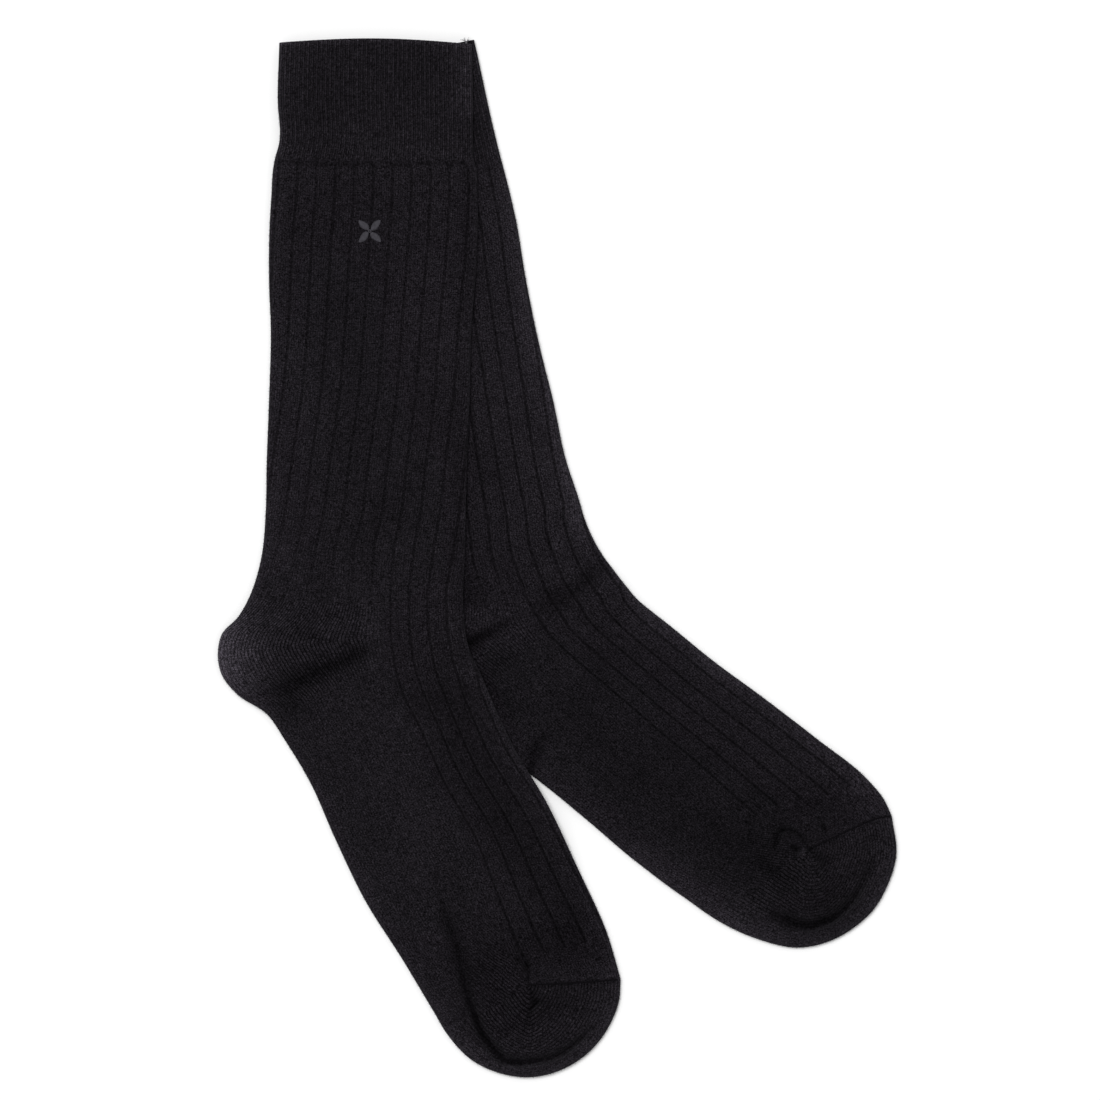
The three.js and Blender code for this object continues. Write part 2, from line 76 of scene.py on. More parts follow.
# Sections run from the back fold (the sole, on the foot) to the front fold (the instep). At the heel
# and the toe they turn about the side line like a fan. step is the rows' distance from there on,
# spread moves the wales of a section outwards, towards the back fold, and turn says how many columns
# the knitting has slid round the tube at the back fold, the side line and the front fold (or at the back
# fold, the sole's side of the gore, its instep side and the front fold, where wales end in the gore)
topSock = {
    "name": "top_sock",
    "bow": 2.2,
    "seam": [(-12.6, -187.8), (9.0, -187.0), (27.0, -185.5)],
    "sections": [
        {"back": (-122.3, 226.2), "front": (-37.6, 225.5), "begins": "cuff", "step": 2.2,
         "turn": (36, 36, 36)},
        {"back": (-123.0, 201.3), "front": (-37.2, 201.3)},
        {"back": (-122.5, 181.5), "front": (-37.0, 181.5)},
        {"back": (-124.2, 175.6), "front": (-36.7, 174.5), "begins": "leg", "step": 1.5},
        {"back": (-125.0, 171.4), "front": (-35.6, 170.5), "step": 3.3, "turn": (37, 37, 37)},
        {"back": (-125.8, 159.5), "front": (-35.2, 159.5)},
        {"back": (-126.5, 148.5), "front": (-35.0, 148.1), "turn": (36, 36, 36)},
        {"back": (-126.9, 122.1), "front": (-36.1, 122.1), "turn": (34, 34, 34)},
        {"back": (-126.1, 99.2), "front": (-37.8, 100.1), "turn": (31, 32, 33)},
        {"back": (-126.9, 69.3), "front": (-38.5, 71.1), "turn": (27, 29, 31)},
        {"back": (-128.0, 38.5), "front": (-39.8, 39.4), "turn": (20, 23, 26)},
        {"back": (-128.3, 20.9), "front": (-40.3, 20.0), "turn": (16, 20, 23)},
        {"back": (-130.5, -1.1), "front": (-40.7, -1.1), "step": 1.8, "turn": (10, 15, 18)},
        {"back": (-133.4, -11.9), "side": (-78.5, -13.4), "front": (-41.4, -14.2), "turn": (9, 0, 14)},
        {"back": (-136.3, -19.0), "side": (-78.5, -20.8), "front": (-41.4, -20.6), "begins": "heel",
         "step": 1.2, "turn": (8, 0, 14)},
        {"back": (-140.4, -26.0), "side": (-78.5, -26.5), "front": (-41.1, -25.0), "turn": (4, 0, 14)},
        {"back": (-147.6, -33.7), "side": (-78.5, -31.2), "front": (-40.9, -28.4), "turn": (0, 0, 14)},
        {"back": (-149.4, -42.9), "side": (-78.4, -34.2), "front": (-40.3, -33.2), "spread": 0.1},
        {"back": (-147.6, -51.7), "side": (-78.2, -36.4), "front": (-39.8, -36.3)},
        {"back": (-141.5, -59.6), "side": (-77.9, -39.0), "front": (-39.2, -38.5)},
        {"back": (-127.4, -69.3), "side": (-77.0, -46.5), "front": (-37.2, -44.2), "begins": "foot",
         "step": 2.3, "turn": (0, 0, 12)},
        {"back": (-119.9, -80.3), "front": (-34.1, -50.4), "turn": (0, 0, 10)},
        {"back": (-109.3, -97.9), "front": (-31.5, -56.5), "turn": (0, 0, 6)},
        {"back": (-97.5, -124.3), "front": (-19.6, -82.5), "turn": (0, 0, 5)},
        {"back": (-84.7, -150.7), "front": (-4.6, -108.0), "turn": (0, 0, 7)},
        {"back": (-68.0, -177.1), "side": (-28.9, -156.6), "front": (8.8, -136.4), "step": 1.6,
         "turn": (0, 0, 9)},
        {"back": (-54.6, -199.5), "side": (-20.6, -177.0), "front": (22.3, -166.7), "begins": "plain",
         "step": 0.9, "turn": (0, 24, 0, 11)},
        {"back": (-48.2, -210.1), "side": (-12.6, -187.8), "front": (27.7, -185.5), "begins": "toe",
         "step": 1.0, "turn": (0, 31, 0, 11)},
        {"back": (-37.6, -221.1), "spread": 0.05},
        {"back": (-24.0, -227.2), "spread": 0.3},
        {"back": (-12.1, -228.6), "spread": 0.55},
        {"back": (1.1, -225.6), "spread": 0.3},
        {"back": (14.3, -217.1), "spread": 0.1},
        {"back": (23.1, -205.3)},
        {"back": (27.1, -194.7)},
        {"back": (27.7, -185.5)},
    ],
    # Soft ridges and troughs: reach and rise are given once, or at points spread evenly over the path,
    # and tone is painted light and shade, a factor on the cloth's colour where the rise is greatest: below 1
    # painted shade in creases and hollows, above 1 painted light on folds, swells and lit patches. ribs and
    # lines say how much is left there of the ribs and of the fine lines between the wales, painted shade
    "forms": [
        {"what": "heel pocket", "path": [(-130, -36)], "reach": 19, "rise": 4.6, "tone": 1.05},
        # painted highlight on the tip of the heel
        {"what": "tip of the heel", "path": [(-148, -42)], "reach": 16, "rise": 0.2, "tone": 2.7},
        {"what": "sole side of the heel", "path": [(-124, -66)], "reach": 10, "rise": 1.8},
        {"what": "toe pocket", "path": [(-8, -200)], "reach": 27, "rise": 2.4, "tone": 0.9},
        {"what": "shade before the toe", "path": [(-28, -177), (8, -171)], "reach": 10, "rise": 0.1,
         "tone": 0.78},
        {"what": "middle of the leg", "path": [(-85, 190), (-86, 20)], "reach": 24, "rise": 0.1,
         "tone": 0.95},
        {"what": "upper leg, front", "path": [(-58, 128), (-56, 92)], "reach": 20, "rise": 0.1,
         "tone": 1.2},
        {"what": "ribs fading below the cuff", "path": [(-122, 172), (-40, 172)], "reach": 7, "ribs": 0.8},
        {"what": "first course of the leg",
         "path": [(-124.5, 174.6), (-110, 173.4), (-82, 172.9), (-41, 172.9)], "reach": 0.8, "rise": -0.3,
         "tone": 0.55},
        {"what": "softer ribs of the leg", "path": [(-82, 150), (-82, 0)], "reach": 60, "ribs": 0.75},
        {"what": "ribs fading at the heel", "path": [(-128, 0), (-122, -18), (-96, -19)], "reach": 19,
         "ribs": 0.35},
        {"what": "stretched wales", "path": [(-148, -44), (-141, -52), (-130, -59)], "reach": 10,
         "lines": 0.55},
        {"what": "softer wales by the instep", "path": [(-77, -20), (-76, -46)], "reach": 9,
         "lines": 0.4},
        {"what": "clear wales before the toe", "path": [(-27, -180), (-22, -193)], "reach": 12,
         "lines": 2.1},
        {"what": "softer wales on the fold",
         "path": [(-52, -197), (-40, -217), (-14, -227), (10, -220), (25, -203)], "reach": 7, "lines": 0.35},
        {"what": "lower leg, back", "path": [(-118, 70), (-118, -4)], "reach": 18, "rise": 0.1,
         "tone": 1.16},
        {"what": "front fold", "path": [(-37, 190), (-39, 90), (-41.2, -20), (-38, -42)],
         "reach": 5, "tone": 0.72},
        # painted light: the middle of the sole drawn lighter
        {"what": "painted light on the middle of the sole", "path": [(-88, -86), (-68, -126)], "reach": 17, "rise": 0.4,
         "tone": 1.12},
        {"what": "instep", "path": [(-52, -62), (-35, -92), (-16, -126), (2, -158)], "reach": 13,
         "rise": 0.2, "tone": 0.75},
        # painted shade in the crease under the heel
        {"what": "under the heel",
         "path": [(-81.0, -38.4), (-83.4, -39.4), (-98.3, -47.3), (-110.2, -52.6), (-119.5, -57),
                  (-127.8, -59.2)], "reach": [3, 4.4, 4.4, 4.4, 4.4, 3.6],
         "rise": [-1.4, -3.4, -3.4, -3.4, -3, -0.8], "tone": 0.36},
        {"what": "below it, towards the sole", "path": [(-120.5, -62.5), (-112, -65)], "reach": 6.5,
         "rise": -0.4, "tone": 0.76},
        {"what": "curl over the heel", "path": [(-111.5, -33.4), (-107, -34.6), (-104, -36.6)], "reach": 1.3,
         "rise": [-0.4, -0.7, -0.4], "tone": 0.55},
        {"what": "ribs' end, back", "path": [(-128.7, -14.3), (-121.7, -20)], "reach": 2, "rise": -0.5,
         "tone": 0.8},
        {"what": "ribs' end, side", "path": [(-112.9, -14.3), (-105, -14.9), (-97.5, -15.2)],
         "reach": 1.5, "rise": [-0.2, -0.4, -0.2], "tone": 0.84},
        {"what": "pull across the leg", "path": [(-75.5, 18.3), (-60, 14.2), (-44.2, 10.8)], "reach": 1.1,
         "rise": -0.2, "tone": 0.86},
        {"what": "press line", "path": [(-118, 153.6), (-60, 154.8)], "reach": 1.6, "rise": -0.15,
         "tone": 0.9},
        {"what": "loose foot of the cuff", "path": [(-120, 180.5), (-48, 179)], "reach": 9, "rise": 0.3,
         "tone": 1.14},
        {"what": "front fold of the cuff", "path": [(-43.5, 222), (-43, 197)], "reach": 8, "rise": 0.2,
         "tone": 1.22},
        # painted highlight along the rolled rim
        {"what": "rolled rim", "path": [(-122, 225.8), (-80, 227.8), (-38, 225.2)], "reach": 1.4,
         "rise": 0.3, "tone": 2.1},
        {"what": "hollow before the toe", "path": [(-53, -140.6)], "reach": 2.4, "rise": -0.6, "tone": 0.7},
        {"what": "along the sole side",
         "path": [(-51.3, -150), (-46.4, -164), (-41.2, -180.6), (-38.4, -193.7), (-35.4, -203)],
         "reach": [2.8, 4.6, 5, 3.8, 2.6], "rise": [-0.4, -1, -1, -0.9, -0.5], "tone": 0.6},
        # painted shade in the crease round the toe
        {"what": "round the toe",
         "path": [(-45, -172), (-42.9, -180.6), (-39.6, -193.7), (-35.9, -203), (-32.6, -210.4),
                  (-28, -216.5), (-23.4, -220.9), (-18.7, -222), (-11.3, -221.6), (-3.9, -220.5),
                  (1, -218.6), (6.4, -214.8), (11, -210.9), (15.5, -206.6)],
         "reach": [1.2, 1.2, 1.4, 1.8, 2.1, 2, 1.7, 1.5, 1.3],
         "rise": [-0.5, -1.6, -2.8, -3.4, -3.4, -3, -2.5, -2.5, -1.2], "tone": 0.26},
        {"what": "line on the sole side",
         "path": [(-51.4, -152), (-47, -163), (-43.6, -174.5), (-41.8, -182)], "reach": 1.4,
         "rise": [-0.3, -0.5, -0.5, -0.4], "tone": 0.7},
        {"what": "shade beside it", "path": [(-34, -206), (-26, -217), (-10, -220), (4, -215)], "reach": 3.6,
         "rise": [-0.2, -0.4, -0.3, -0.2], "tone": 0.82},
        {"what": "ribs' end, gore side", "path": [(-14, -166)], "reach": 8, "rise": -0.2,
         "tone": 0.84},
        {"what": "ribs' end, front", "path": [(1, -169.6), (9, -167)], "reach": 6, "rise": -0.2,
         "tone": 0.84},
        {"what": "bulge beside the gore", "path": [(-22.5, -178), (-20, -186)], "reach": 5,
         "rise": 0.7, "tone": 1.22},
        {"what": "curl at the gore", "path": [(-17.8, -177), (-15.2, -177.2), (-12.9, -179.4)], "reach": 1.4,
         "rise": -1, "tone": 0.46},
        {"what": "gore", "path": [(-13.6, -179), (-12.9, -183), (-12.4, -188), (-10.6, -194)], "reach": 1.3,
         "rise": [-0.7, -0.7, -0.5, -0.5], "tone": 0.5},
        {"what": "tuck under the seam", "path": [(-12.1, -198.7), (-9, -195.6)], "reach": 1.5, "rise": -1.5,
         "tone": 0.36},
        {"what": "drag line from the tuck",
         "path": [(-9, -195.6), (-2.9, -196.3), (4, -197.6), (11.2, -200.4)], "reach": 1.5,
         "rise": [-0.9, -0.5, -0.4, -0.2], "tone": 0.64},
        {"what": "drag line, sole side", "path": [(-25.4, -208.6), (-20, -206.4), (-11.2, -205.3)],
         "reach": 1.2, "rise": [-0.3, -0.4, -0.3], "tone": 0.84},
        {"what": "full front of the toe", "path": [(-6, -211), (8, -206)], "reach": 6, "rise": 0.5,
         "tone": 1.14},
        {"what": "seam", "path": [(-10, -187.7), (9, -187), (26, -185.6)], "reach": 0.9, "rise": -0.3,
         "tone": 0.7},
        {"what": "lip above the seam", "path": [(-9, -185.6), (9, -185), (24, -183.8)], "reach": 0.9,
         "rise": 0.2, "tone": 1.2},
        # painted highlight on the bead of the gore
        {"what": "bead of the gore", "path": [(-11.4, -186.2)], "reach": 0.9, "rise": 0.5, "tone": 2.2},
        # painted shade: the cloth below the gore drawn darker
        {"what": "painted shade below the gore", "path": [(-12.6, -191), (-12.8, -205)], "reach": 3.2,
         "rise": -0.2, "tone": 0.8},
    ],
}

underSock = {
    "name": "under_sock",
    "bow": 0.8,
    "seam": [(112.5, -127.3), (118.8, -124.3), (129.8, -119.1), (140.8, -114.7), (146.6, -113.6)],
    "sections": [
        {"back": (-119.5, 209.0), "front": (-36.7, 227.7), "begins": "cuff", "step": 2.2,
         "turn": (32, 32, 32)},
        {"back": (-108.0, 157.5), "front": (-25.1, 176.2), "begins": "leg", "step": 1.5},
        {"back": (-109.8, 151.6), "front": (-23.8, 171.4), "step": 3.3, "turn": (32, 32, 32)},
        {"back": (-105.2, 128.9), "front": (-18.3, 148.5), "turn": (30, 30, 30)},
        {"back": (-101.2, 102.4), "front": (-13.9, 122.1), "turn": (28, 28, 28)},
        {"back": (-94.8, 72.4), "front": (-7.7, 92.2), "turn": (25, 25, 25)},
        {"back": (-89.1, 49.5), "front": (-2.0, 69.3), "turn": (21, 21, 21)},
        {"back": (-83.2, 23.1), "front": (3.7, 42.9), "turn": (18, 18, 18)},
        {"back": (-79.9, 4.2), "front": (9.5, 25.3), "step": 1.8, "turn": (15, 15, 15)},
        {"back": (-77.2, -7.7), "front": (12.1, 16.5), "turn": (12, 12, 11)},
        {"back": (-73.3, -24.9), "side": (-18.6, -20.6), "front": (21.3, -1.1), "begins": "heel",
         "step": 1.2, "turn": (8, 0, 8)},
        {"back": (-77.2, -36.3), "side": (-17.0, -23.6), "front": (24.0, -4.6)},
        {"back": (-77.7, -49.9), "side": (-15.0, -27.0), "front": (26.6, -8.1), "spread": 0.15},
        {"back": (-68.4, -61.8), "side": (-12.6, -30.8), "front": (30.1, -12.5)},
        {"back": (-46.4, -71.1), "side": (-9.0, -35.6), "front": (35.4, -18.7), "begins": "foot",
         "step": 2.3, "turn": (0, 0, 3)},
        {"back": (-28.8, -83.4), "side": (8.0, -51.4), "front": (40.7, -23.1), "turn": (0, 0, 1)},
        {"back": (-8.6, -97.9), "side": (21.1, -62.4), "front": (48.6, -29.3), "turn": (0, 0, 0)},
        {"back": (13.0, -115.5), "side": (41.0, -79.6), "front": (68.0, -45.1)},
        {"back": (33.7, -133.1), "side": (61.6, -97.2), "front": (89.5, -60.9)},
        {"back": (39.8, -137.8), "side": (71.5, -106.5), "front": (114.3, -79.9), "step": 1.6},
        {"back": (45.1, -141.9), "side": (80.0, -114.0), "front": (136.6, -97.9), "begins": "plain"},
        {"back": (57.4, -150.7), "side": (96.5, -120.8), "front": (143.5, -106.3), "step": 0.9,
         "turn": (0, 12, 0, 0)},
        {"back": (70.2, -159.5), "side": (112.0, -126.9), "front": (147.0, -113.7), "begins": "toe",
         "step": 1.0, "turn": (0, 24, 0, 0)},
        {"back": (89.5, -168.3), "spread": 0.1},
        {"back": (105.4, -171.6), "spread": 0.4},
        {"back": (120.8, -168.3), "spread": 0.5},
        {"back": (131.3, -162.1), "spread": 0.3},
        {"back": (138.8, -155.1), "spread": 0.1},
        {"back": (145.0, -144.5)},
        {"back": (149.0, -130.9)},
        {"back": (147.0, -113.7)},
    ],
    "forms": [
        {"what": "instep at the ankle", "path": [(24, -16)], "reach": 15, "rise": 1.8},
        {"what": "toe pocket", "path": [(114, -133)], "reach": 25, "rise": 2.2},
        # painted shade: the middle of the foot drawn darker
        {"what": "painted shade on the middle of the foot", "path": [(15, -70), (45, -96), (88, -128), (112, -142)],
         "reach": 27, "rise": 0.1, "tone": 0.76},
        {"what": "front fold of the leg", "path": [(-12, 118), (0, 60), (10, 16)], "reach": 6, "rise": 0.2,
         "tone": 1.22},
        # painted light along the front of the leg
        {"what": "front of the leg", "path": [(-24, 150), (-10, 60), (8, 12)], "reach": 22, "rise": 0.1,
         "tone": 1.35},
        {"what": "front fold of the foot", "path": [(40, -26), (66, -46), (110, -80), (134, -100)],
         "reach": 7, "rise": 0.3, "tone": 1.25},
        # painted light: the edge of the sole drawn lighter
        {"what": "painted light on the edge of the sole", "path": [(38, -131), (58, -145), (78, -158)], "reach": 8,
         "rise": 0.3, "tone": 1.3},
        {"what": "front of the ankle",
         "path": [(21, -3), (15, -8), (10.8, -11.8), (3.3, -16.5), (-4.2, -19.6)],
         "reach": [3, 3.4, 3.2, 2.8, 2.4], "rise": [-1.1, -1.4, -1.2, -0.5, -0.3], "tone": 0.64},
        {"what": "shade across the ankle", "path": [(17, -6), (8, -14), (-3, -18)], "reach": 6, "rise": -0.2,
         "tone": 0.8},
        {"what": "beside it", "path": [(4, -19), (-4, -21)], "reach": 4.5, "rise": -0.4, "tone": 0.76},
        {"what": "softer wales at the heel", "path": [(-34, -30), (-24, -28)], "reach": 13, "lines": 0.6},
        {"what": "clear wales at the gore", "path": [(90, -126), (96, -134)], "reach": 10, "lines": 2},
        {"what": "softer wales on the fold",
         "path": [(66, -159), (88, -168), (106, -171), (130, -163), (146, -143)], "reach": 8, "lines": 0.4},
        {"what": "tick above the ankle", "path": [(-5.1, 10.4), (-3.8, 6), (-3.4, 2)], "reach": 1.2,
         "rise": -0.4, "tone": 0.8},
        {"what": "tick nearer the fold", "path": [(1, 18), (3.4, 13), (4.6, 7.7)], "reach": 1.4,
         "rise": -0.4, "tone": 0.82},
        {"what": "ridge between them", "path": [(-2, 5), (2.5, 7.5)], "reach": 1.4, "rise": 0.4,
         "tone": 1.25},
        # painted shade in the crease under the heel
        {"what": "under the heel",
         "path": [(-39.6, -37.4), (-36, -36), (-31, -33.4), (-25.5, -30.4), (-20, -27.8), (-14.6, -25.4)],
         "reach": [3.6, 3.3, 2.8, 2.4, 2, 1.6], "rise": [-2.8, -2.8, -2.3, -1.6, -1, -0.4], "tone": 0.2},
        {"what": "ribs fading at the heel", "path": [(-40, -18), (-20, -14)], "reach": 8, "ribs": 0.35},
        {"what": "hollow by the upper sock", "path": [(-39.6, -12), (-39.4, -18)], "reach": 3.4,
         "rise": -0.4, "tone": 0.66},
        {"what": "shade under the heel", "path": [(-36, -44), (-22, -46)], "reach": 7, "rise": -0.3,
         "tone": 0.76},
        {"what": "side of the upper sock", "path": [(-31, -52), (-22, -66)], "reach": 4, "rise": -0.3,
         "tone": 0.72},
        {"what": "drag line at the crossing",
         "path": [(-5.4, -75.5), (-8.6, -82), (-10.8, -88), (-11.6, -93.6)], "reach": [1.6, 2.4, 2.8, 2.8],
         "rise": [-0.6, -1.1, -1.6, -1.6], "tone": 0.38},
        # painted shade in the crease round the toe
        {"what": "round the toe",
         "path": [(94, -156), (99, -158.6), (108.1, -161.6), (116.4, -160.4), (124, -156.4), (129.1, -151.3),
                  (134.2, -143.2), (137.6, -135.4), (139.4, -129.6)], "reach": [3, 3, 2.5, 2.2, 2.1, 2, 1.7],
         "rise": [-1.4, -2.8, -3, -3, -2.4, -1.8, -1.1, -0.3], "tone": 0.24},
        {"what": "shade inside it", "path": [(100, -151), (112, -153), (122, -148)], "reach": 5,
         "rise": -0.2, "tone": 0.85},
        {"what": "ribs' end", "path": [(88, -103), (96, -106), (113, -109)], "reach": 5.5,
         "rise": -0.3, "tone": 0.8},
        {"what": "pull below the gore", "path": [(84, -126), (93.1, -137.1), (100.5, -142.6)], "reach": 3.6,
         "rise": [-0.3, -0.7, -0.6], "tone": 0.66},
        {"what": "pull along the sole", "path": [(64, -112), (72, -124), (80, -140)], "reach": 4.5,
         "rise": -0.3, "tone": 0.84},
        {"what": "lip of the gore", "path": [(95.6, -126), (96.4, -122.6), (98.9, -119.8)], "reach": 1.4,
         "rise": -1.1, "tone": 0.36},
        {"what": "curl of the gore", "path": [(98.9, -119.8), (102.7, -119.6), (106.4, -122), (110.1, -127)],
         "reach": 1.3, "rise": [-0.9, -1, -1, -0.6], "tone": 0.5},
        {"what": "eye of the gore", "path": [(103.8, -127.4), (105.6, -128.4)], "reach": 1.5, "rise": -1.1,
         "tone": 0.32},
        # painted highlight on the bead of the gore
        {"what": "bead of the gore", "path": [(107.4, -130.8), (108.8, -129)], "reach": 1, "rise": 0.6,
         "tone": 1.8},
        {"what": "tail of the gore", "path": [(111, -128.6), (114.6, -131.4), (119, -133.6)], "reach": 1.6,
         "rise": [-0.9, -0.7, -0.4], "tone": 0.5},
        {"what": "pick by the seam", "path": [(116.9, -117.8), (117.6, -119.6)], "reach": 1.3, "rise": -0.9,
         "tone": 0.4},
        {"what": "full side of the gore", "path": [(90, -119), (99, -131)], "reach": 4, "rise": 0.5,
         "tone": 1.14},
        {"what": "full front of the toe", "path": [(124, -137), (131, -128)], "reach": 6, "rise": 0.4,
         "tone": 1.12},
        {"what": "seam",
         "path": [(113, -127), (118.8, -124.3), (129.8, -119.1), (140.8, -114.7), (146, -113.7)],
         "reach": 0.9, "rise": -0.3, "tone": 0.7},
        {"what": "lip above the seam", "path": [(119, -122.4), (129.8, -117.2), (140.8, -112.8)],
         "reach": 0.9, "rise": 0.2, "tone": 1.18},
    ],
}


def smoothThrough(points, stations):
    # a smooth curve through the points, asked at stations counted in points
    points = np.array(points, float)
    steps = np.diff(points, axis=0)
    lengths = np.hypot(steps[:, 0], steps[:, 1])
    ways = steps / np.maximum(lengths, 1e-6)[:, None]
    before, after = lengths[:-1, None], lengths[1:, None]
    middle = (ways[:-1] * after + ways[1:] * before) / np.maximum(before + after, 1e-6)
    tangents = np.vstack([ways[:1], middle, ways[-1:]])
    at = np.minimum(stations.astype(int), len(points) - 2)
    f = (stations - at)[:, None]
    h = lengths[at, None]
    return ((2 * f ** 3 - 3 * f ** 2 + 1) * points[at] + (f ** 3 - 2 * f ** 2 + f) * h * tangents[at]
            + (3 * f ** 2 - 2 * f ** 3) * points[at + 1] + (f ** 3 - f ** 2) * h * tangents[at + 1])


def smoothStep(v):
    v = np.clip(v, 0, 1)
    return v * v * (3 - 2 * v)


def nearPath(points, path):
    # distance to a path, and how far along it the nearest place is, from 0 to 1
    path = np.array(path, float)
    if len(path) == 1:
        return np.hypot(*(points - path[0]).T), np.zeros(len(points))
    steps = np.diff(path, axis=0)
    lengths = np.maximum(np.hypot(steps[:, 0], steps[:, 1]), 1e-9)
    begins = np.concatenate([[0], np.cumsum(lengths)])
    off = np.full(len(points), np.inf)
    along = np.zeros(len(points))
    for start, step, length, begin in zip(path, steps, lengths, begins):
        rel = points - start
        part = np.clip(rel @ step / length ** 2, 0, 1)
        gap = np.hypot(rel[:, 0] - part * step[0], rel[:, 1] - part * step[1])
        nearer = gap < off
        off = np.where(nearer, gap, off)
        along = np.where(nearer, (begin + part * length) / begins[-1], along)
    return off, along


def distanceBeside(points, folds):
    # positive beside a sock, negative over it; its cuff is taken to run on past the rim
    def pastRim(rim, inner):
        way = rim - inner
        return rim + way * lying["rimOverhang"] / np.hypot(*way)
    loop = np.vstack([pastRim(folds[0], folds[1]), folds, pastRim(folds[-1], folds[-2])])
    loop = np.vstack([loop, loop[:1]])
    off, along = nearPath(points, loop)
    inside = np.zeros(len(points), bool)
    for a, b in zip(loop[:-1], loop[1:]):
        if a[1] == b[1]:
            continue
        crosses = (a[1] > points[:, 1]) != (b[1] > points[:, 1])
        x = a[0] + (b[0] - a[0]) * (points[:, 1] - a[1]) / (b[1] - a[1])
        inside ^= crosses & (points[:, 0] < x)
    return np.where(inside, -off, off)


def acrossShare(share, width):
    # near a fold the cloth turns down, so a step round the tube takes less of the flat width
    height = lying["flatHeight"]
    across = lying["foldPerHeight"] * height
    turn = math.pi / 2 * math.sqrt((across ** 2 + (height / 2) ** 2) / 2)
    fromFold = np.minimum(share, 1 - share) * (width + 2 * (turn - across))
    angle = np.minimum(fromFold / turn, 1) * math.pi / 2
    inward = across * (1 - np.cos(angle)) + np.maximum(fromFold - turn, 0)
    return inward / width


def layOutSock(sock):
    # the plan of every row and column, with the rows at which the pieces begin
    table = sock["sections"]
    begins = {s["begins"]: i for i, s in enumerate(table) if "begins" in s}
    lastFront = begins["toe"]
    backs = [s["back"] for s in table]
    fronts = [table[min(i, lastFront)]["front"] for i in range(len(table))]
    sides = []
    for i, section in enumerate(table):
        share = lying["legSide"] if i < begins["heel"] else lying["footSide"]
        back, front = np.array(backs[i]), np.array(fronts[i])
        side = table[min(i, lastFront)].get("side") if i > lastFront else section.get("side")
        sides.append(side if side is not None else tuple(back + (front - back) * share))

    stations, rows, step = [0.0], {"cuff": 0}, 2.0
    for i, section in enumerate(table[:-1]):
        step = section.get("step", step)
        longest = max(math.dist(backs[i], backs[i + 1]), math.dist(fronts[i], fronts[i + 1]))
        count = max(1, round(longest / step))
        stations += [i + (k + 1) / count for k in range(count)]
        if table[i + 1].get("begins"):
            rows[table[i + 1]["begins"]] = len(stations) - 1
    stations = np.array(stations)
    rows["end"] = len(stations) - 1

    back, side, front = (smoothThrough(p, stations) for p in (backs, sides, fronts))
    spread = np.interp(stations, range(len(table)), [s.get("spread", 0) for s in table])
    turns = []
    for section in table:
        turn = section.get("turn", turns[-1] if turns else (0, 0, 0))
        turns.append(turn if len(turn) == 4 else (turn[0], turn[1], turn[1], turn[2]))
    turn = np.array([np.interp(stations, range(len(table)), side) for side in zip(*turns)])
    top = np.arange(knit["columns"] + 1) / knit["columns"]
    under = 1 - np.arange(1, knit["underColumns"] + 1) / knit["underColumns"]
    share = np.concatenate([top, under])
    face = np.concatenate([np.ones(len(top)), -np.ones(len(under))])
    face[-1] = 1
    half = knit["columns"] / 2
    underNumbers = np.arange(1, knit["underColumns"] + 1) * knit["columns"] / knit["underColumns"]
    column = np.concatenate([np.arange(knit["columns"] + 1), knit["columns"] + underNumbers])
    corners = [0, half, half + 1, 2 * half, 3 * half - 1, 3 * half, 4 * half]
    slid = np.array([np.interp(column, corners, (back, sole, instep, front, instep, sole, back))
                     for back, sole, instep, front in turn.T])
    width = np.hypot(*(back - side).T) + np.hypot(*(front - side).T)
    fromFold = 2 * acrossShare(share[None, :], width[:, None])[..., None]
    fromSide = np.clip(1 - fromFold, 0, 1)
    soleSpread = fromSide * (1 + spread[:, None, None] * (1 - fromSide))
    sole = side[:, None] + (back - side)[:, None] * soleSpread
    instep = side[:, None] + (front - side)[:, None] * fromSide
    plan = np.where(share[None, :, None] <= 0.5, sole, instep)

    # the rim stands out a little in the middle
    rimWay = back[0] - back[1]
    rimWay = rimWay / np.hypot(*rimWay)
    fade = np.clip(1 - np.arange(len(stations)) / lying["bowRows"], 0, 1)
    plan += (rimWay * sock["bow"] * np.sin(math.pi * share)[None, :, None]) * (fade ** 2)[:, None, None]

    folds = np.vstack([back, front[rows["toe"] - 1::-1]])
    onInstep = (column >= half) & (column <= 3 * half)
    return {"plan": plan, "face": face, "rows": rows, "folds": folds, "column": column - slid,
            "onInstep": onInstep}


def layForms(sock):
    # a smooth line through the points of each ridge and trough
    for form in sock["forms"]:
        form.setdefault("rise", lying["faintRise"])
        points = form["path"]
        form["line"] = points
        if len(points) > 2:
            form["line"] = smoothThrough(points, np.linspace(0, len(points) - 1, 5 * len(points) - 4))


def fullness(sock, points):
    def alongIt(values, along):
        values = np.atleast_1d(values)
        return np.interp(along, np.linspace(0, 1, len(values)), values)
    rise = np.zeros(len(points))
    shade = np.ones(len(points))
    for form in sock["forms"]:
        off, along = nearPath(points, form["line"])
        lift = alongIt(form["rise"], along)
        part = np.exp(-(off / alongIt(form["reach"], along)) ** 2)
        rise += lift * part
        share = np.abs(lift) / np.max(np.abs(form["rise"]))
        # painted light and shade of each form, a factor on the cloth's colour
        shade *= 1 + (form.get("tone", 1) - 1) * part * share
    return rise, shade


def leftOf(sock, kind):
    # how much of the ribs or of the lines between the wales (painted shade in their gaps) is left at each
    # stitch
    points = sock["plan"].reshape(-1, 2)
    left = np.ones(len(points))
    for form in sock["forms"]:
        if kind in form:
            off, along = nearPath(points, form["line"])
            left *= 1 + (form[kind] - 1) * np.exp(-(off / form["reach"]) ** 2)
    return left.reshape(sock["column"].shape)


